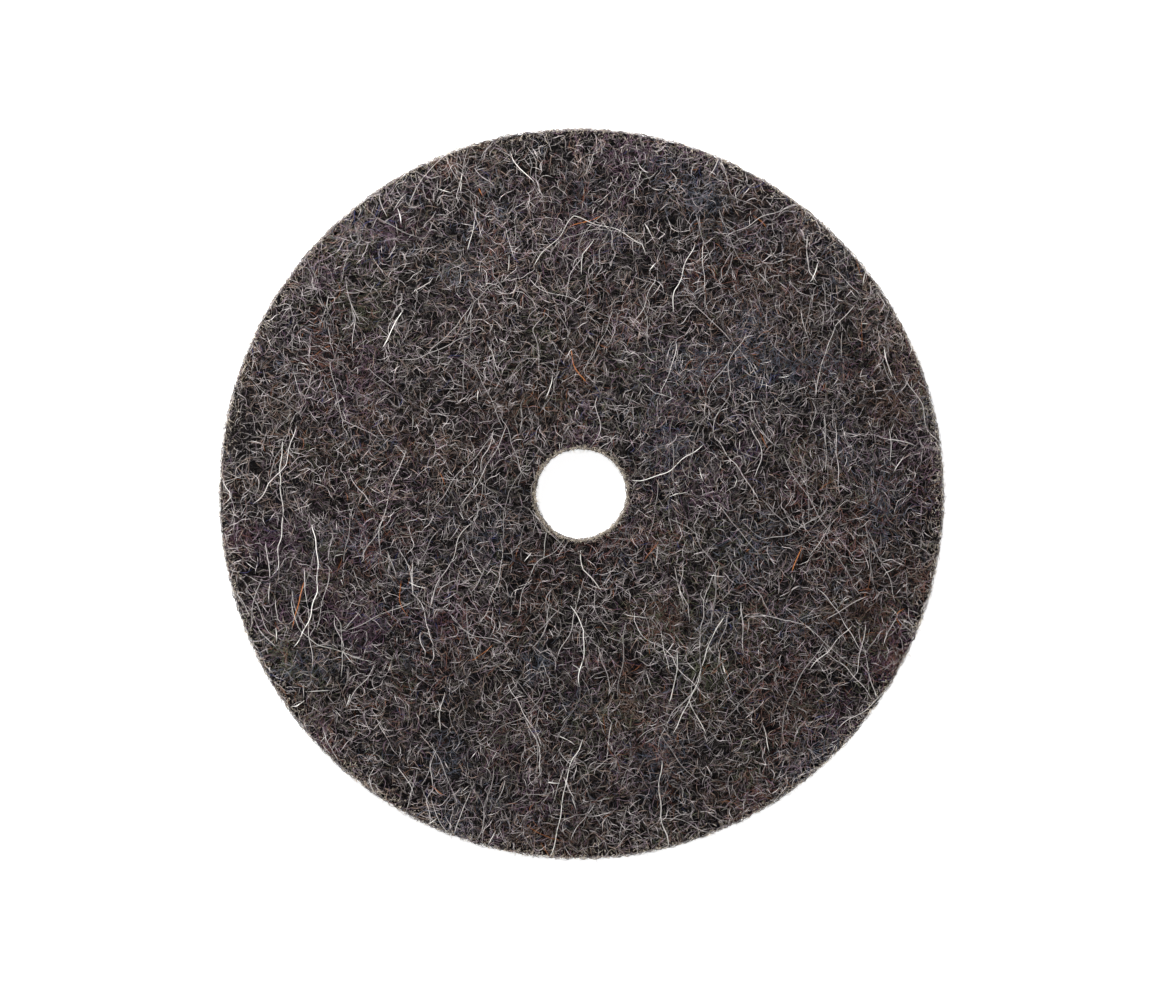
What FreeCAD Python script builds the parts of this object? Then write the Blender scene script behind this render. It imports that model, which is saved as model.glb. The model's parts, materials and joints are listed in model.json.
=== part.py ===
"""Felt polishing wheel: one flat disc of thick wool felt with a punched arbor hole.

The disc lies on its back face. The origin is the centre of the back face, on the axis of the hole,
and +Z runs along that axis towards the polishing face. Lengths are in millimetres.
"""

import FreeCAD, Part
import Sketcher

import math
import os

SHEET = "sizes"

# Driving dimensions, kept in the spreadsheet: alias, millimetres, meaning.
DIMENSIONS = (
    ("disc_diameter", 101.6, "outside diameter of the wheel"),
    ("felt_thickness", 6.35, "thickness of the felt that it is cut from"),
    ("hole_diameter", 12.7, "arbor hole, punched through the middle"),
    ("rim_rounding", 0.6, "softening of the two outer edges"),
)

# How Sketcher numbers the centre of a circle, and the sketch's own origin.
CENTRE_POINT = 3
ORIGIN = (-1, 1)


def make_sizes(doc):
    """The spreadsheet whose cells drive every size of the wheel."""
    sheet = doc.addObject("Spreadsheet::Sheet", SHEET)
    for row, (alias, value, meaning) in enumerate(DIMENSIONS, start=1):
        sheet.set(f"A{row}", alias)
        sheet.set(f"B{row}", str(value))
        sheet.set(f"C{row}", meaning)
        sheet.setAlias(f"B{row}", alias)
    doc.recompute()
    return sheet


def circle_sketch(body, name, diameter_alias):
    """A circle about the wheel's axis, drawn on the back face, with its diameter taken from the sheet."""
    sketch = body.newObject("Sketcher::SketchObject", name)
    back_face_plane = next(f for f in body.Origin.OriginFeatures if f.Role == "XY_Plane")
    sketch.AttachmentSupport = [(back_face_plane, "")]
    sketch.MapMode = "FlatFace"
    axis = FreeCAD.Vector(0, 0, 1)
    circle = sketch.addGeometry(Part.Circle(FreeCAD.Vector(0, 0, 0), axis, 1.0), False)
    sketch.addConstraint(Sketcher.Constraint("Coincident", circle, CENTRE_POINT, *ORIGIN))
    diameter = sketch.addConstraint(Sketcher.Constraint("Diameter", circle, 2.0))
    sketch.setExpression(f"Constraints[{diameter}]", f"{SHEET}.{diameter_alias}")
    return sketch


def rim_edges(feature, radius):
    """Names of the two circular edges at the top and bottom of the wheel's outer wall."""
    names = []
    for number, edge in enumerate(feature.Shape.Edges, start=1):
        if isinstance(edge.Curve, Part.Circle) and math.isclose(edge.Curve.Radius, radius):
            names.append(f"Edge{number}")
    return names


def make_felt_disc(doc, sheet):
    """The wheel: a disc cut from thick felt, its arbor hole punched out and its outer edges softened."""
    body = doc.addObject("PartDesign::Body", "felt_disc")
    body.Label = "felt_disc"
    body.Placement = FreeCAD.Placement(FreeCAD.Vector(0, 0, 0), FreeCAD.Rotation())

    disc = body.newObject("PartDesign::Pad", "cut_disc")
    disc.Profile = circle_sketch(body, "disc_outline", "disc_diameter")
    disc.setExpression("Length", f"{SHEET}.felt_thickness")
    doc.recompute()

    punched = body.newObject("PartDesign::Pocket", "arbor_hole")
    punched.Profile = circle_sketch(body, "hole_outline", "hole_diameter")
    punched.Type = "ThroughAll"
    punched.Reversed = True
    doc.recompute()
    check_punch(disc, punched, sheet)

    softened = body.newObject("PartDesign::Fillet", "softened_rim")
    softened.Base = (punched, rim_edges(punched, sheet.disc_diameter / 2))
    softened.setExpression("Radius", f"{SHEET}.rim_rounding")
    body.Tip = softened
    doc.recompute()
    return body


def check_punch(disc, punched, sheet):
    """A pocket that points away from the disc cuts nothing, so the volume that it removed is compared."""
    removed = disc.Shape.Volume - punched.Shape.Volume
    expected = math.pi * (sheet.hole_diameter / 2) ** 2 * sheet.felt_thickness
    if not math.isclose(removed, expected, rel_tol=1e-6):
        raise RuntimeError(f"the arbor hole removed {removed:.2f} mm3 and should remove {expected:.2f}")


def check_document(doc, bodies):
    """Stops before anything is written if a feature failed or a sub-part isn't one valid solid."""
    for feature in doc.Objects:
        if {"Invalid", "Error"} & set(feature.State):
            raise RuntimeError(f"{feature.Label} failed: {feature.State}")
    for body in bodies:
        if body.Shape.isNull() or not body.Shape.isValid() or len(body.Shape.Solids) != 1:
            raise RuntimeError(f"{body.Label} is not one valid solid")


def main():
    doc = FreeCAD.newDocument("felt_polishing_wheel")
    sheet = make_sizes(doc)
    bodies = [make_felt_disc(doc, sheet)]
    check_document(doc, bodies)

    os.makedirs("parts", exist_ok=True)
    for body in bodies:
        body.Shape.exportStep(os.path.join("parts", f"{body.Label}.step"))
        print(f"{body.Label}: {body.Shape.Volume:.1f} mm3")


main()
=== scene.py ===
"""Felt polishing wheel: a thick disc of mixed grey wool with a punched arbor hole.

The felt is a matted body, near black between its strands with painted shade, with tens of thousands
of separate fibres worked into it. Each fibre is a thin closed tube that wanders over the felt and
dips in and out of it.
of each colour on the polishing face, those of a few colours on the back and the cut walls, a fringe
at each cut edge, and the coarse kemp hairs strewn over the face. Lengths are in metres, and small
ones are written as millimetres times MM.
"""

import json
import math
from dataclasses import dataclass

import bpy
import numpy as np
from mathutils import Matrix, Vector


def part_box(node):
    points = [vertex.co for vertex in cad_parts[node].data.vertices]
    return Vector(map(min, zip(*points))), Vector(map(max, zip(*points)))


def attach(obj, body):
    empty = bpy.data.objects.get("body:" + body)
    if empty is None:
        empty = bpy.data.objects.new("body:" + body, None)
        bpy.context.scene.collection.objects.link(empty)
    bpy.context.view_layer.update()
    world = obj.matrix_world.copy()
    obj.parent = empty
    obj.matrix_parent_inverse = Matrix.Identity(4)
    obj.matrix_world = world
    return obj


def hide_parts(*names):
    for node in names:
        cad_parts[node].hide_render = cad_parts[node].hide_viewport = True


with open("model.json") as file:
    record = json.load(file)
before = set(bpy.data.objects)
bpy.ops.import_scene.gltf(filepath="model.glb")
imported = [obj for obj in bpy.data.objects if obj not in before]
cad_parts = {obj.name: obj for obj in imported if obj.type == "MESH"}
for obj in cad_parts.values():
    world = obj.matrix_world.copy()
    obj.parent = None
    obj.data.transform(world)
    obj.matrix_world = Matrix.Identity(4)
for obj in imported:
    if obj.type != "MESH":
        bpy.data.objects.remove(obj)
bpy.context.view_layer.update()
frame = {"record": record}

MM = 0.001

# The wheel's sizes, from the CAD model.
LOW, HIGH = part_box("felt_disc")
RADIUS = (HIGH[0] - LOW[0]) / 2
THICKNESS = HIGH[2] - LOW[2]
HOLE_RADIUS = frame["record"]["mounts"][0]["dims"]["r_mm"] * MM

# The cut edges are a little out of round. For each wave: how many go round, its size, its direction.
RIM_WAVES = ((2, 0.2 * MM, -160), (3, 0.1 * MM, 0))
HOLE_WAVES = ((2, 0.05 * MM, 60), (3, 0.05 * MM, 30))

NAP = 0.32 * MM  # how deep the loose fibres lie over the matted body
EDGE_ROUNDING = 0.6 * MM

# How far inside its nominal edge the matted body starts, and how far inside it loose fibres stop.
BODY_INSET_AT_RIM, BODY_INSET_AT_HOLE, BODY_INSET_AT_BACK = 0.6 * NAP, 0.64 * NAP, 0.6 * NAP
FIBRE_INSET_AT_RIM, FIBRE_INSET_AT_HOLE = 0.02 * MM, 0.17 * MM
WALL_FIBRE_INSET_AT_HOLE = 0.10 * MM
FRINGE_INSET_AT_HOLE = 0.12 * MM

# The lumps of a face: how far across, and how high.
BROAD_LUMP, BROAD_HEIGHT = 9 * MM, 0.22 * MM
FINE_LUMP, FINE_HEIGHT = 2.2 * MM, 0.12 * MM
BACK_RELIEF = 0.3  # the back's lumps as a share of the polishing face's
CLEARANCE = 0.05 * MM  # how far the fibres of the back and the walls stay inside the flat planes

# Seeds of the lumps of each side, and of the fibres and their patches in each kind of piece.
TOP_SEED, BACK_SEED = 11, 23
FACE_FIBRE_SEED, FACE_PATCH_SEED = 1000, 300
BACK_FIBRE_SEED, BACK_PATCH_SEED = 2000, 400
RIM_FRINGE_SEED, HOLE_FRINGE_SEED = 501, 502
HAIR_SEED, HAIR_PATCH_SEED = 601, 77

# ---------------------------------------------------------------- shape of the felt


def wavy(angle, waves):
    """How far an edge stands out from a true circle at these angles."""
    return sum(size * np.cos(n * angle - math.radians(turn)) for n, size, turn in waves)


def rim_at(angle):
    return RADIUS + wavy(angle, RIM_WAVES)


def hole_at(angle):
    return HOLE_RADIUS + wavy(angle, HOLE_WAVES)


def patches(x, y, size, seed):
    """Smooth random patches, from 0 to 1 and about this size across."""
    cells = 64
    grid = np.random.default_rng(seed).random((cells + 1, cells + 1))
    u = np.clip(x / size + cells / 2, 0, cells - 0.001)
    v = np.clip(y / size + cells / 2, 0, cells - 0.001)
    i, j = u.astype(int), v.astype(int)
    fu, fv = u - i, v - j
    fu, fv = fu * fu * (3 - 2 * fu), fv * fv * (3 - 2 * fv)
    near = grid[i, j] * (1 - fu) + grid[i + 1, j] * fu
    far = grid[i, j + 1] * (1 - fu) + grid[i + 1, j + 1] * fu
    return near * (1 - fv) + far * fv


def relief(x, y, seed):
    """Gentle lumps of a felt face, about its mean height."""
    broad = patches(x, y, BROAD_LUMP, seed) - 0.5
    fine = patches(x, y, FINE_LUMP, seed + 1) - 0.5
    return BROAD_HEIGHT * broad + FINE_HEIGHT * fine


def edge_drop(inside):
    """How far a face has rounded off at this distance in from its cut edge."""
    left = np.clip(EDGE_ROUNDING - inside, 0, EDGE_ROUNDING)
    return EDGE_ROUNDING - np.sqrt(EDGE_ROUNDING**2 - left**2)


def face_height(x, y, seed):
    """Height of a face's surface above its nominal plane, with its relief and rounded edges."""
    r, angle = np.hypot(x, y), np.arctan2(y, x)
    inside = np.minimum(rim_at(angle) - r, r - hole_at(angle))
    return relief(x, y, seed) - edge_drop(np.maximum(inside, 0))


# ---------------------------------------------------------------- meshes


def mesh_object(name, corners, quads, triangles=None):
    """A smooth-shaded mesh object from arrays of corners, four-sided faces and triangles."""
    if triangles is None:
        triangles = np.empty((0, 3), int)
    mesh = bpy.data.meshes.new(name)
    mesh.vertices.add(len(corners))
    mesh.vertices.foreach_set("co", corners.astype(np.float32).ravel())
    loops = np.concatenate([quads.ravel(), triangles.ravel()]).astype(np.int32)
    mesh.loops.add(len(loops))
    mesh.loops.foreach_set("vertex_index", loops)
    starts = np.concatenate([np.arange(len(quads)) * 4, quads.size + np.arange(len(triangles)) * 3])
    mesh.polygons.add(len(starts))
    mesh.polygons.foreach_set("loop_start", starts.astype(np.int32))
    mesh.polygons.foreach_set("use_smooth", np.ones(len(starts), bool))
    mesh.update(calc_edges=True)
    mesh.validate()
    piece = bpy.data.objects.new(name, mesh)
    bpy.context.scene.collection.objects.link(piece)
    return piece


def felt_body():
    """The matted core: one closed skin over the face, the rim, the back and the hole's wall."""
    around, across, down = 420, 96, 7  # corners round the wheel, over a face and down a wall
    angle = np.linspace(0, 2 * math.pi, around, endpoint=False)[None, :]
    edge_steps = np.array([0.0, 0.03, 0.12, 0.25, 0.45, 0.7, 1.0]) * EDGE_ROUNDING
    hole, rim = hole_at(angle) + BODY_INSET_AT_HOLE, rim_at(angle) - BODY_INSET_AT_RIM
    middle = np.linspace(0, 1, across)[1:-1, None]
    inner = hole + edge_steps[:, None]
    outer = rim - edge_steps[::-1, None]
    radii = np.concatenate([inner, inner[-1:] + (outer[:1] - inner[-1:]) * middle, outer])
    x, y = radii * np.cos(angle), radii * np.sin(angle)
    drop = edge_drop(np.minimum(rim - radii, radii - hole))
    top = THICKNESS - NAP + relief(x, y, TOP_SEED) - drop
    back = BODY_INSET_AT_BACK - BACK_RELIEF * relief(x, y, BACK_SEED) + drop
    levels = np.linspace(0, 1, down + 2)[1:-1, None]
    wall_x, wall_y = np.repeat(x[-1:], down, 0), np.repeat(y[-1:], down, 0)
    bore_x, bore_y = np.repeat(x[:1], down, 0), np.repeat(y[:1], down, 0)
    rings = [
        np.stack([x, y, top], -1),
        np.stack([wall_x, wall_y, top[-1:] + (back[-1:] - top[-1:]) * levels], -1),
        np.stack([x, y, back], -1)[::-1],
        np.stack([bore_x, bore_y, back[:1] + (top[:1] - back[:1]) * levels], -1),
    ]
    corners = np.concatenate(rings)
    rows = len(corners)
    ring = np.arange(rows)[:, None] * around
    ring_next = (np.arange(rows)[:, None] + 1) % rows * around
    column, column_next = np.arange(around)[None, :], (np.arange(around)[None, :] + 1) % around
    quads = np.stack(
        [ring + column, ring_next + column, ring_next + column_next, ring + column_next], -1
    )
    return mesh_object("felt_body", corners.reshape(-1, 3), quads.reshape(-1, 4))


# ---------------------------------------------------------------- fibres


def wander(rng, count, curl, crimp):
    """Plan views of fibres from 0, 0, which bend at random and swing with the wool's own crimp."""
    heading = rng.uniform(0, 2 * math.pi, count)
    bend = rng.normal(0, curl, count)
    wave = rng.uniform(1.3, 2.8, count) * MM
    phase = rng.uniform(0, 2 * math.pi, count)
    swing = crimp * rng.uniform(0.3, 1.5, count)
    path = np.zeros((count, FIBRE_POINTS, 2))
    for i in range(1, FIBRE_POINTS):
        bend = 0.75 * bend + rng.normal(0, 0.66 * curl, count)
        turn = bend + swing * np.cos(2 * math.pi * i * FIBRE_STEP / wave + phase)
        heading = heading + turn * FIBRE_STEP / MM
        path[:, i] = path[:, i - 1] + FIBRE_STEP * np.stack([np.cos(heading), np.sin(heading)], -1)
    return path


def tubes(name, paths, counts, radii, shades):
    """One piece of closed three-sided tubes, tapered at both ends.

    Each follows the first of its path's points, as many as its count says.
    """
    keep = counts >= 3
    paths, counts, radii, shades = paths[keep], counts[keep], radii[keep], shades[keep]
    number, points = paths.shape[:2]
    along = np.arange(points)[None, :]
    last = counts[:, None] - 1
    held = np.minimum(along, last)
    paths = np.take_along_axis(paths, held[..., None], 1)
    before = np.take_along_axis(paths, np.maximum(held - 1, 0)[..., None], 1)
    after = np.take_along_axis(paths, np.minimum(held + 1, last)[..., None], 1)
    forward = after - before
    forward /= np.linalg.norm(forward, axis=-1, keepdims=True)
    sideways = np.cross(forward[:, 0], (0.31, 0.17, 0.93))
    rings = np.empty((number, points, 3, 3))
    taper = np.clip(np.minimum(along, last - along) / 2.0, 0, 1) * 0.65 + 0.35
    for i in range(points):
        ahead = forward[:, i]
        sideways = sideways - ahead * np.sum(sideways * ahead, -1, keepdims=True)
        sideways /= np.linalg.norm(sideways, axis=-1, keepdims=True)
        upwards = np.cross(ahead, sideways)
        for side in range(3):
            turn = 2 * math.pi * side / 3
            offset = math.cos(turn) * sideways + math.sin(turn) * upwards
            rings[:, i, side] = paths[:, i] + offset * (radii[:, None] * taper[:, i : i + 1])
    used = (along <= last)[..., None] & np.ones(3, bool)
    index = np.where(used, np.cumsum(used.ravel()).reshape(used.shape) - 1, -1)
    side, side_next = np.arange(3), (np.arange(3) + 1) % 3
    a, b = index[:, :-1], index[:, 1:]
    quads = np.stack([a[..., side], a[..., side_next], b[..., side_next], b[..., side]], -1)
    quads = quads[b[..., 0] >= 0].reshape(-1, 4)
    first_cap = index[:, 0, ::-1]
    last_cap = np.take_along_axis(index, last[..., None].repeat(3, 2), 1)[:, 0]
    piece = mesh_object(name, rings[used], quads, np.concatenate([first_cap, last_cap]))
    shade = piece.data.attributes.new("shade", "FLOAT", "POINT")
    per_corner = np.broadcast_to(shades[:, None, None], used.shape)[used]
    shade.data.foreach_set("value", per_corner.astype(np.float32))
    return piece


def inside_counts(x, y):
    """How many points each fibre has before it first comes too near the rim or the hole."""
    r, angle = np.hypot(x, y), np.arctan2(y, x)
    past_rim = r > rim_at(angle) - FIBRE_INSET_AT_RIM
    outside = past_rim | (r < hole_at(angle) + FIBRE_INSET_AT_HOLE)
    return np.where(outside.any(1), outside.argmax(1), x.shape[1])


def scatter(rng, count, patch_seed, patch_size, patchiness):
    """Random places on a face, thicker in some patches than in others."""
    found = []
    while sum(len(part) for part in found) < count:
        x, y = rng.uniform(-RADIUS, RADIUS, (2, 4 * count))
        dense = patches(x, y, patch_size, patch_seed)
        r = np.hypot(x, y)
        chance = np.exp(patchiness * (dense - 1))
        keep = (rng.random(4 * count) < chance) & (r < RADIUS) & (r > HOLE_RADIUS)
        found.append(np.stack([x[keep], y[keep]], -1))
    return np.concatenate(found)[:count]


@dataclass
class Wool:
    """One colour of wool in the mix."""

    name: str
    share: float  # of the fibres
    dark: tuple  # its darkest and lightest fibres, linear colours
    light: tuple
    width: float  # of a fibre
    lift: float  # how high its fibres lie in the nap, from 0, deep, to 1, on top
    patch: float  # how patchily it was carded in


FINE, BROAD, BLACK = 0.063 * MM, 0.085 * MM, 0.105 * MM
FACE_WOOLS = (
    Wool("black_wool", 0.060, (0.0, 0.0, 0.0), (0.003, 0.003, 0.003), BLACK, 0.7, 1.0),
    Wool("ink_wool", 0.060, (0.001, 0.001, 0.002), (0.010, 0.010, 0.016), BROAD, 0.6, 1.0),
    Wool("soot_wool", 0.060, (0.005, 0.004, 0.003), (0.040, 0.029, 0.025), BROAD, 0.55, 1.5),
    Wool("charcoal_wool", 0.065, (0.016, 0.013, 0.013), (0.080, 0.068, 0.068), FINE, 0.5, 1.0),
    Wool("ash_wool", 0.065, (0.030, 0.026, 0.026), (0.130, 0.110, 0.114), FINE, 0.5, 1.0),
    Wool("umber_wool", 0.060, (0.034, 0.021, 0.016), (0.19, 0.120, 0.092), FINE, 0.5, 8.0),
    Wool("chestnut_wool", 0.050, (0.038, 0.016, 0.013), (0.235, 0.113, 0.092), FINE, 0.5, 8.0),
    Wool("slate_wool", 0.065, (0.024, 0.029, 0.038), (0.16, 0.175, 0.22), FINE, 0.5, 8.0),
    Wool("plum_wool", 0.060, (0.030, 0.015, 0.024), (0.20, 0.12, 0.17), FINE, 0.5, 8.0),
    Wool("moss_wool", 0.045, (0.028, 0.030, 0.017), (0.16, 0.165, 0.11), FINE, 0.5, 8.0),
    Wool("grey_wool", 0.065, (0.09, 0.077, 0.077), (0.30, 0.257, 0.262), FINE, 0.6, 0.5),
    Wool("stone_wool", 0.060, (0.08, 0.074, 0.06), (0.29, 0.265, 0.235), FINE, 0.6, 2.0),
    Wool("mauve_wool", 0.065, (0.11, 0.083, 0.096), (0.38, 0.29, 0.34), FINE, 0.6, 2.0),
    Wool("taupe_wool", 0.060, (0.14, 0.100, 0.079), (0.44, 0.325, 0.275), FINE, 0.6, 2.0),
    Wool("silver_wool", 0.065, (0.23, 0.205, 0.20), (0.63, 0.565, 0.565), FINE, 0.75, 0.5),
    Wool("pearl_wool", 0.055, (0.33, 0.30, 0.293), (0.80, 0.74, 0.73), FINE, 0.8, 0.5),
    Wool("indigo_wool", 0.005, (0.02, 0.02, 0.05), (0.08, 0.09, 0.22), FINE, 0.7, 5.0),
    Wool("russet_wool", 0.007, (0.08, 0.030, 0.014), (0.32, 0.13, 0.06), FINE, 0.7, 5.0),
)
BACK_WOOLS = (
    Wool("back_soot_wool", 0.2, (0.003, 0.002, 0.002), (0.040, 0.032, 0.030), BROAD, 0.5, 2.0),
    Wool("back_umber_wool", 0.2, (0.030, 0.018, 0.015), (0.18, 0.118, 0.096), FINE, 0.5, 3.0),
    Wool("back_slate_wool", 0.2, (0.024, 0.024, 0.032), (0.16, 0.155, 0.19), FINE, 0.5, 3.0),
    Wool("back_grey_wool", 0.2, (0.08, 0.066, 0.070), (0.32, 0.27, 0.28), FINE, 0.6, 1.0),
    Wool("back_silver_wool", 0.2, (0.20, 0.18, 0.178), (0.62, 0.57, 0.56), FINE, 0.65, 0.5),
)
FACE_FIBRES, BACK_FIBRES, RIM_FIBRES, BORE_FIBRES = 66000, 16000, 9000, 900
FIBRE_STEP, FIBRE_POINTS = 0.35 * MM, 15
FACE_CURL, FACE_CRIMP = 0.5, 0.7  # radians a millimetre
WALL_CURL, WALL_CRIMP = 0.6, 1.0


def fibre_lengths(rng, count):
    """How many points each fibre shows before it dives into the felt: usually few, seldom many."""
    return np.clip(rng.gamma(3.0, 1.5, count).astype(int) + 3, 4, FIBRE_POINTS)


def face_fibres(rng, wool, patch_seed, count, surface):
    """Fibres of one wool lying in the nap of a face, dipping in and out of the matted body."""
    start = scatter(rng, count, patch_seed, 6 * MM, wool.patch)
    path = start[:, None] + wander(rng, count, FACE_CURL, FACE_CRIMP)
    x, y = path[..., 0], path[..., 1]
    counts = inside_counts(x, y)
    counts = np.minimum(counts, fibre_lengths(rng, count))
    wave = rng.uniform(1.3, 3.2, (count, 1)) * MM
    phase = rng.uniform(0, 2 * math.pi, (count, 1))
    along = np.arange(FIBRE_POINTS)[None, :] * FIBRE_STEP
    level = NAP * (wool.lift * 1.2 - 1.0 + rng.normal(0, 0.35, (count, 1)))
    rise = 0.9 * NAP  # how far a fibre waves up and down, and the highest that it may lie
    height = level + rise * np.sin(2 * math.pi * along / wave + phase)
    height = np.minimum(height, rise)
    return np.stack([x, y, surface(x, y, height)], -1), counts


def top_surface(x, y, height):
    return THICKNESS + face_height(x, y, TOP_SEED) + height


def back_surface(x, y, height):
    return np.maximum(-BACK_RELIEF * face_height(x, y, BACK_SEED) - 0.5 * height, CLEARANCE)


def wall_fibres(rng, count, edge, outwards):
    """Short cut fibres that lie along a cut wall: most run level, as in needled felt."""
    angle = rng.uniform(0, 2 * math.pi, count)
    path = wander(rng, count, WALL_CURL, WALL_CRIMP)
    lean = rng.uniform(0.25, 1.0, count)[:, None]
    level = rng.uniform(0, THICKNESS, count)[:, None] + path[..., 1] * lean
    radius = RADIUS if outwards else HOLE_RADIUS
    around = angle[:, None] + path[..., 0] / radius
    wave = rng.uniform(1.5, 4.0, (count, 1)) * MM
    phase = rng.uniform(0, 2 * math.pi, (count, 1))
    along = np.arange(FIBRE_POINTS)[None, :] * FIBRE_STEP
    depth = rng.normal(-0.35, 0.3, (count, 1))
    out = NAP * (depth + 0.7 * np.sin(2 * math.pi * along / wave + phase))
    nearest = np.minimum(level, THICKNESS - level)
    out = out - edge_drop(np.maximum(nearest, 0))
    r = edge(around) + (out if outwards else WALL_FIBRE_INSET_AT_HOLE - out)
    outside = (level < CLEARANCE) | (level > THICKNESS - CLEARANCE)
    counts = np.where(outside.any(1), outside.argmax(1), FIBRE_POINTS)
    counts = np.minimum(counts, fibre_lengths(rng, count))
    return np.stack([r * np.cos(around), r * np.sin(around), level], -1), counts


@dataclass
class Kemp:
    """Coarse hairs of one colour among the wool."""

    name: str
    count: int
    shortest: float
    longest: float
    width: float
    spread: float  # how far they stray from the way the web was drawn, in radians
    dark: tuple
    light: tuple


HAIR_STEP = 0.4 * MM
CHALK = (0.50, 0.48, 0.45), (0.95, 0.92, 0.88)
PALE = (0.24, 0.22, 0.215), (0.70, 0.66, 0.64)
RUST = (0.16, 0.055, 0.018), (0.60, 0.22, 0.07)
KEMPS = (
    Kemp("bright_stubs", 80, 1.2 * MM, 4 * MM, 0.14 * MM, 0.8, *CHALK),
    Kemp("bright_hairs", 28, 4 * MM, 24 * MM, 0.135 * MM, 0.35, *CHALK),
    Kemp("pale_hairs", 290, 3 * MM, 20 * MM, 0.098 * MM, 0.5, *PALE),
    Kemp("rusty_hairs", 30, 1.5 * MM, 8 * MM, 0.10 * MM, 0.6, *RUST),
)


def hair_paths(rng, count, longest, spread):
    """Bent and kinked lines over the face. Most run roughly along Y, as the web was drawn."""
    points = round(longest / HAIR_STEP)
    start = scatter(rng, count, HAIR_PATCH_SEED, 14 * MM, 0.8)
    heading = math.pi / 2 + rng.normal(0, spread, count) + math.pi * rng.integers(0, 2, count)
    looseness = rng.uniform(0.3, 1.0, count)
    bend = rng.normal(0, 0.05, count) * looseness
    wave, phase = rng.uniform(3.0, 9.0, count) * MM, rng.uniform(0, 2 * math.pi, count)
    swing_size, kink_chance, kink_spread = 0.28, 0.07, 0.5
    path = np.zeros((count, points, 2))
    for i in range(1, points):
        bend = 0.8 * bend + rng.normal(0, 0.05, count) * looseness
        swing = swing_size * looseness * np.cos(2 * math.pi * i * HAIR_STEP / wave + phase)
        kinked = rng.random(count) < kink_chance
        kink = np.where(kinked, rng.normal(0, kink_spread, count), 0) * looseness
        heading = heading + (bend + swing) * HAIR_STEP / MM + kink
        path[:, i] = path[:, i - 1] + HAIR_STEP * np.stack([np.cos(heading), np.sin(heading)], -1)
    return path + start[:, None]


def hair_heights(rng, count, counts, points):
    """Heights of hairs that weave along the top of the nap, with their ends dipping into it."""
    along = np.arange(points) * HAIR_STEP
    wave, phase = rng.uniform(4, 12, (count, 1)) * MM, rng.uniform(0, 2 * math.pi, (count, 1))
    weave = np.sin(2 * math.pi * along / wave + phase)
    to_end = np.minimum(along[None, :], (counts[:, None] - 1) * HAIR_STEP - along[None, :])
    return NAP * (0.55 + 0.4 * weave) * np.clip(to_end / (0.8 * MM), -0.5, 1)


def hair_piece(kemp, seed):
    """One piece of coarse hairs strewn over the polishing face."""
    rng = np.random.default_rng(seed)
    path = hair_paths(rng, kemp.count, kemp.longest, kemp.spread)
    counts = inside_counts(path[..., 0], path[..., 1])
    lengths = kemp.shortest + (kemp.longest - kemp.shortest) * rng.beta(1.0, 2.2, kemp.count)
    counts = np.minimum(counts, (lengths / HAIR_STEP).astype(int))
    heights = hair_heights(rng, kemp.count, counts, path.shape[1])
    z = top_surface(path[..., 0], path[..., 1], heights)
    radii = kemp.width / 2 * rng.uniform(0.6, 1.05, kemp.count)
    routes = np.concatenate([path, z[..., None]], -1)
    piece = tubes(kemp.name, routes, counts, radii, rng.random(kemp.count))
    piece.data.materials.append(wool_material(kemp.name, kemp.dark, kemp.light))
    return piece


RIM_FRINGE_ENDS, HOLE_FRINGE_ENDS = 7600, 1900
FRINGE_DARK, FRINGE_LIGHT = (0.22, 0.185, 0.145), (0.74, 0.65, 0.53)


def fuzz(rng, count, edge, outwards):
    """Fine cut fibre ends that stand out of a wall and up through the nap beside it."""
    points, step = 5, 0.16 * MM
    spread_mm = 0.8 if outwards else 0.14  # mean distance in from the edge of the ends on the face
    angle = rng.uniform(0, 2 * math.pi, count)
    on_face = rng.random(count) < 0.6
    level = np.where(on_face, THICKNESS - 0.1 * MM, THICKNESS * rng.random(count))
    inset = np.where(on_face, rng.exponential(spread_mm, count) * MM, 0.05 * MM)
    drop = edge_drop(np.minimum(level, THICKNESS - level))
    side = 1 if outwards else -1
    tucked = 0.0 if outwards else FRINGE_INSET_AT_HOLE
    r = edge(angle) - side * (tucked + inset + np.where(on_face, 0, drop))
    out = np.stack([np.cos(angle), np.sin(angle), np.zeros(count)], -1) * side
    heading = out * np.where(on_face, 0.3, 1.0)[:, None] + rng.normal(0, 0.8, (count, 3))
    heading[:, 2] += 0.4 * on_face
    path = np.zeros((count, points, 3))
    path[:, 0] = np.stack([r * np.cos(angle), r * np.sin(angle), level], -1)
    length = rng.gamma(3.0, 0.22, count).clip(0.3, 1.8)
    for i in range(1, points):
        heading = heading + rng.normal(0, 0.5, (count, 3))
        heading /= np.linalg.norm(heading, axis=-1, keepdims=True)
        path[:, i] = path[:, i - 1] + heading * (step * length)[:, None]
    path[..., 2] = np.clip(path[..., 2], 0.03 * MM, THICKNESS + 0.2 * MM)
    return path


def fuzz_piece(name, seed, count, edge, outwards):
    """The fringe of fine fibre ends at one cut edge."""
    rng = np.random.default_rng(seed)
    paths = fuzz(rng, count, edge, outwards)
    radii = rng.uniform(0.024, 0.042, count) * MM
    piece = tubes(name, paths, np.full(count, paths.shape[1]), radii, rng.random(count))
    piece.data.materials.append(wool_material(name, FRINGE_DARK, FRINGE_LIGHT))
    return piece


def fibre_piece(wool, rng, groups):
    """One piece of all these groups of fibres, each a pair of paths and point counts."""
    paths = np.concatenate([group[0] for group in groups])
    counts = np.concatenate([group[1] for group in groups])
    radii = wool.width / 2 * rng.uniform(0.75, 1.2, len(counts))
    piece = tubes(wool.name, paths, counts, radii, rng.random(len(counts)))
    piece.data.materials.append(wool_material(wool.name, wool.dark, wool.light))
    return piece


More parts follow.
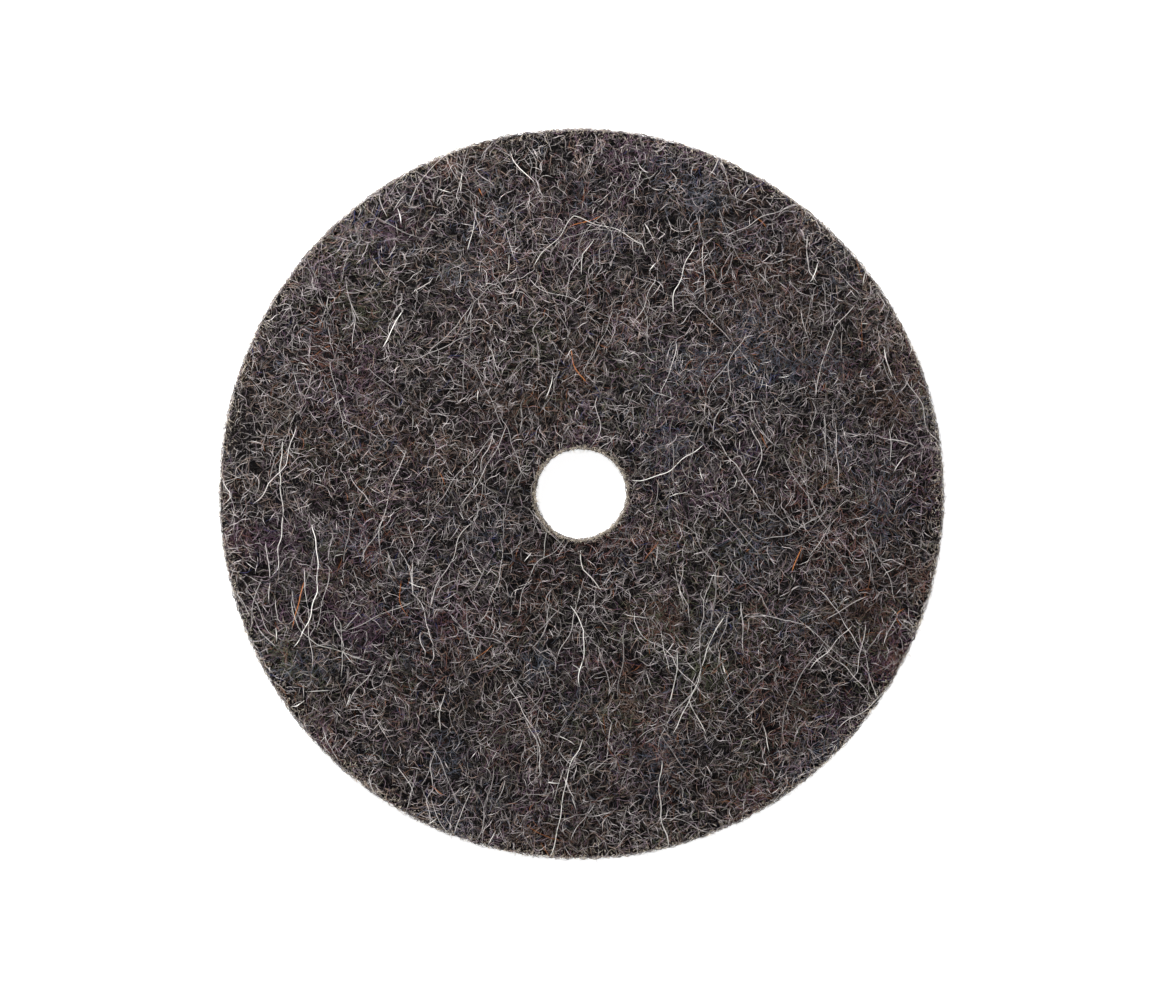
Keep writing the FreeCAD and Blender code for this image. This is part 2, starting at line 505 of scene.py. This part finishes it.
def face_piece(wool, number):
    """The fibres of one wool on the polishing face."""
    rng = np.random.default_rng(FACE_FIBRE_SEED + number)
    count = round(wool.share * FACE_FIBRES)
    face = face_fibres(rng, wool, FACE_PATCH_SEED + number, count, top_surface)
    return fibre_piece(wool, rng, [face])


def back_piece(wool, number):
    """The fibres of one wool on the back and both cut walls."""
    rng = np.random.default_rng(BACK_FIBRE_SEED + number)
    count = round(wool.share * BACK_FIBRES)
    back = face_fibres(rng, wool, BACK_PATCH_SEED + number, count, back_surface)
    rim = wall_fibres(rng, round(wool.share * RIM_FIBRES), rim_at, True)
    bore = wall_fibres(rng, round(wool.share * BORE_FIBRES), hole_at, False)
    return fibre_piece(wool, rng, [back, rim, bore])


# ---------------------------------------------------------------- materials


def new_material(name):
    material = bpy.data.materials.new(name)
    material.use_nodes = True
    shader = material.node_tree.nodes["Principled BSDF"]
    shader.inputs["Specular IOR Level"].default_value = 0.04
    return material, material.node_tree, shader


def noise_node(tree, scale, detail=2.0, distortion=0.0, offset=(0, 0, 0)):
    """Noise in the object's own metres, moved by offset so that no two layers match."""
    place = tree.nodes.new("ShaderNodeTexCoord")
    move = tree.nodes.new("ShaderNodeMapping")
    move.inputs["Location"].default_value = offset
    noise = tree.nodes.new("ShaderNodeTexNoise")
    noise.inputs["Scale"].default_value = scale
    noise.inputs["Detail"].default_value = detail
    noise.inputs["Distortion"].default_value = distortion
    tree.links.new(place.outputs["Object"], move.inputs["Vector"])
    tree.links.new(move.outputs["Vector"], noise.inputs["Vector"])
    return noise.outputs["Fac"]


def maths(tree, operation, first, second):
    """One Math node; first and second are sockets or plain numbers."""
    node = tree.nodes.new("ShaderNodeMath")
    node.operation = operation
    for socket, value in zip(node.inputs, (first, second)):
        if isinstance(value, (int, float)):
            socket.default_value = value
        else:
            tree.links.new(value, socket)
    return node.outputs[0]


def ramp(tree, factor, stops):
    """A colour ramp through stops, each a position and a colour or grey level."""
    node = tree.nodes.new("ShaderNodeValToRGB")
    elements = node.color_ramp.elements
    while len(elements) < len(stops):
        elements.new(0.5)
    for element, (position, colour) in zip(elements, stops):
        element.position = position
        element.color = (*colour, 1) if isinstance(colour, tuple) else (colour, colour, colour, 1)
    tree.links.new(factor, node.inputs["Fac"])
    return node.outputs["Color"]


# What moves a fibre from its wool's dark colour, at 0, towards its light one, at 1. The rim's share
# is a painted highlight.
OWN_SHADE, PATCH_SHADE, STREAK_SHADE, RIM_PAINTED_LIGHT = 1.05, 0.4, 0.5, 0.21
DARKENING = 0.515  # taken off their sum


def wool_material(name, dark, light):
    """Wool of one colour: a shade for every fibre, which shifts in patches and along it.

    The wool is a little paler near the rim: a painted highlight along the cut edge.
    """
    material, tree, shader = new_material(name)
    shade = tree.nodes.new("ShaderNodeAttribute")
    shade.attribute_name = "shade"
    own = maths(tree, "MULTIPLY", shade.outputs["Fac"], OWN_SHADE)
    patch = maths(tree, "MULTIPLY", noise_node(tree, 90), PATCH_SHADE)
    streak = maths(tree, "MULTIPLY", noise_node(tree, 6500), STREAK_SHADE)
    place = tree.nodes.new("ShaderNodeTexCoord")
    from_axis = tree.nodes.new("ShaderNodeVectorMath")
    from_axis.operation = "LENGTH"
    tree.links.new(place.outputs["Object"], from_axis.inputs[0])
    share_of_radius = maths(tree, "DIVIDE", from_axis.outputs["Value"], RADIUS)
    # painted highlight: fibres paler towards the rim
    painted_rim_light = ramp(tree, share_of_radius, ((0.86, 0.0), (0.98, RIM_PAINTED_LIGHT)))
    mixed = maths(tree, "ADD", maths(tree, "ADD", own, patch), maths(tree, "ADD", streak, painted_rim_light))
    factor = maths(tree, "SUBTRACT", mixed, DARKENING)
    middle = tuple(0.62 * d + 0.38 * l for d, l in zip(dark, light))
    colour = ramp(tree, factor, ((0.05, dark), (0.5, middle), (0.95, light)))
    tree.links.new(colour, shader.inputs["Base Color"])
    rough = ramp(tree, noise_node(tree, 1500), ((0.3, 0.62), (0.7, 0.9)))
    tree.links.new(rough, shader.inputs["Roughness"])
    return material


def felt_material():
    """The matted body between the fibres: wool crossed by layers of finer, deeper fibres, with
    painted shade that is near black in the gaps and darker on the deeper strands.

    It is paler on the back and the walls, where fewer loose fibres cover it; under the polishing
    face it is darker with painted shade.
    """
    material, tree, shader = new_material("matted_felt")
    strands = None
    # the finer, deeper layers are dimmer: painted shade
    layers = ((1100, (0, 0, 0), 1.0), (1600, (3, 1, 2), 0.8), (2300, (7, 4, 5), 0.7))
    for scale, offset, bright in layers:
        noise = noise_node(tree, scale, 1.0, 0.6, offset)
        line = ramp(tree, noise, ((0.44, 0.0), (0.5, bright), (0.56, 0.0)))
        strands = line if strands is None else maths(tree, "MAXIMUM", strands, line)
    breaks = ramp(tree, noise_node(tree, 800, 2.0, 0, (9, 9, 1)), ((0.35, 0.15), (0.7, 1.0)))
    strands = maths(tree, "MULTIPLY", strands, breaks)
    # painted shade: the body is darker under the polishing face than on the back and the walls
    place = tree.nodes.new("ShaderNodeTexCoord")
    split = tree.nodes.new("ShaderNodeSeparateXYZ")
    tree.links.new(place.outputs["Object"], split.inputs[0])
    level = maths(tree, "DIVIDE", split.outputs["Z"], THICKNESS)
    less_painted_shade_off_face = ramp(tree, level, ((0.86, 0.3), (0.93, 0.0)))
    strands = maths(tree, "ADD", strands, less_painted_shade_off_face)
    # painted shade: the gaps between strands are near black and the deeper strands darker
    painted_gap_shade, deep, shallow = (0.001, 0.001, 0.001), (0.014, 0.012, 0.012), (0.16, 0.137, 0.137)
    colour = ramp(tree, strands, ((0.0, painted_gap_shade), (0.4, deep), (1.0, shallow)))
    tree.links.new(colour, shader.inputs["Base Color"])
    rough = ramp(tree, strands, ((0.0, 0.95), (1.0, 0.75)))
    tree.links.new(rough, shader.inputs["Roughness"])
    bump = tree.nodes.new("ShaderNodeBump")
    bump.inputs["Distance"].default_value = 0.15 * MM
    tree.links.new(strands, bump.inputs["Height"])
    tree.links.new(bump.outputs["Normal"], shader.inputs["Normal"])
    return material


def floor_material():
    """A white light table: it glows a little, so that the wheel hardly shades it."""
    material, tree, shader = new_material("light_table")
    shader.inputs["Base Color"].default_value = (0.6, 0.6, 0.6, 1)
    shader.inputs["Roughness"].default_value = 0.9
    shader.inputs["Emission Color"].default_value = (1, 1, 1, 1)
    shader.inputs["Emission Strength"].default_value = 0.9
    return material


# ---------------------------------------------------------------- the studio


def studio():
    """A pale floor, one soft lamp behind and to the left, and a surround that is palest low down."""
    size = 3.0
    corners = np.array([(-size, -size, 0), (size, -size, 0), (size, size, 0), (-size, size, 0)])
    floor = mesh_object("floor", corners, np.array([[0, 1, 2, 3]]))
    floor.data.materials.append(floor_material())

    world = bpy.data.worlds.new("surround")
    world.use_nodes = True
    tree = world.node_tree
    direction = tree.nodes.new("ShaderNodeTexCoord")
    split = tree.nodes.new("ShaderNodeSeparateXYZ")
    tree.links.new(direction.outputs["Generated"], split.inputs[0])
    bright = ramp(tree, split.outputs["Z"], ((0.12, 1.0), (0.4, 0.38)))
    tree.links.new(bright, tree.nodes["Background"].inputs["Color"])
    bpy.context.scene.world = world

    lamp = bpy.data.lights.new("soft_lamp", "AREA")
    lamp.shape = "DISK"
    lamp.size = 0.15
    lamp.energy = 1.6
    holder = bpy.data.objects.new("soft_lamp", lamp)
    holder.location = (-0.10, 0.15, 0.22)
    holder.rotation_euler = (-holder.location).to_track_quat("-Z", "Y").to_euler()
    bpy.context.scene.collection.objects.link(holder)


def camera():
    """Straight above the wheel, with a long lens, so that the sides of the hole hardly show."""
    frame_width = 160.5 * MM  # what the picture takes in at the polishing face
    middle_x, middle_y = -0.8 * MM, -0.18 * MM  # the point of the wheel in the picture's middle
    lens = bpy.data.cameras.new("camera")
    lens.lens = 135
    lens.sensor_width = 36
    holder = bpy.data.objects.new("camera", lens)
    away = frame_width * lens.lens / lens.sensor_width
    holder.location = (middle_x, middle_y, THICKNESS + away)
    bpy.context.scene.collection.objects.link(holder)
    bpy.context.scene.camera = holder


# ---------------------------------------------------------------- assembly

camera()
studio()
bpy.context.scene.view_settings.view_transform = "Standard"

body = felt_body()
body.data.materials.append(felt_material())
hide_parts("felt_disc")
pieces = [body]
pieces += [face_piece(wool, number) for number, wool in enumerate(FACE_WOOLS)]
pieces += [back_piece(wool, number) for number, wool in enumerate(BACK_WOOLS)]
pieces.append(fuzz_piece("rim_fuzz", RIM_FRINGE_SEED, RIM_FRINGE_ENDS, rim_at, True))
pieces.append(fuzz_piece("hole_fuzz", HOLE_FRINGE_SEED, HOLE_FRINGE_ENDS, hole_at, False))
pieces += [hair_piece(kemp, HAIR_SEED + number) for number, kemp in enumerate(KEMPS)]

for piece in pieces:
    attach(piece, "root")

bpy.context.view_layer.update()
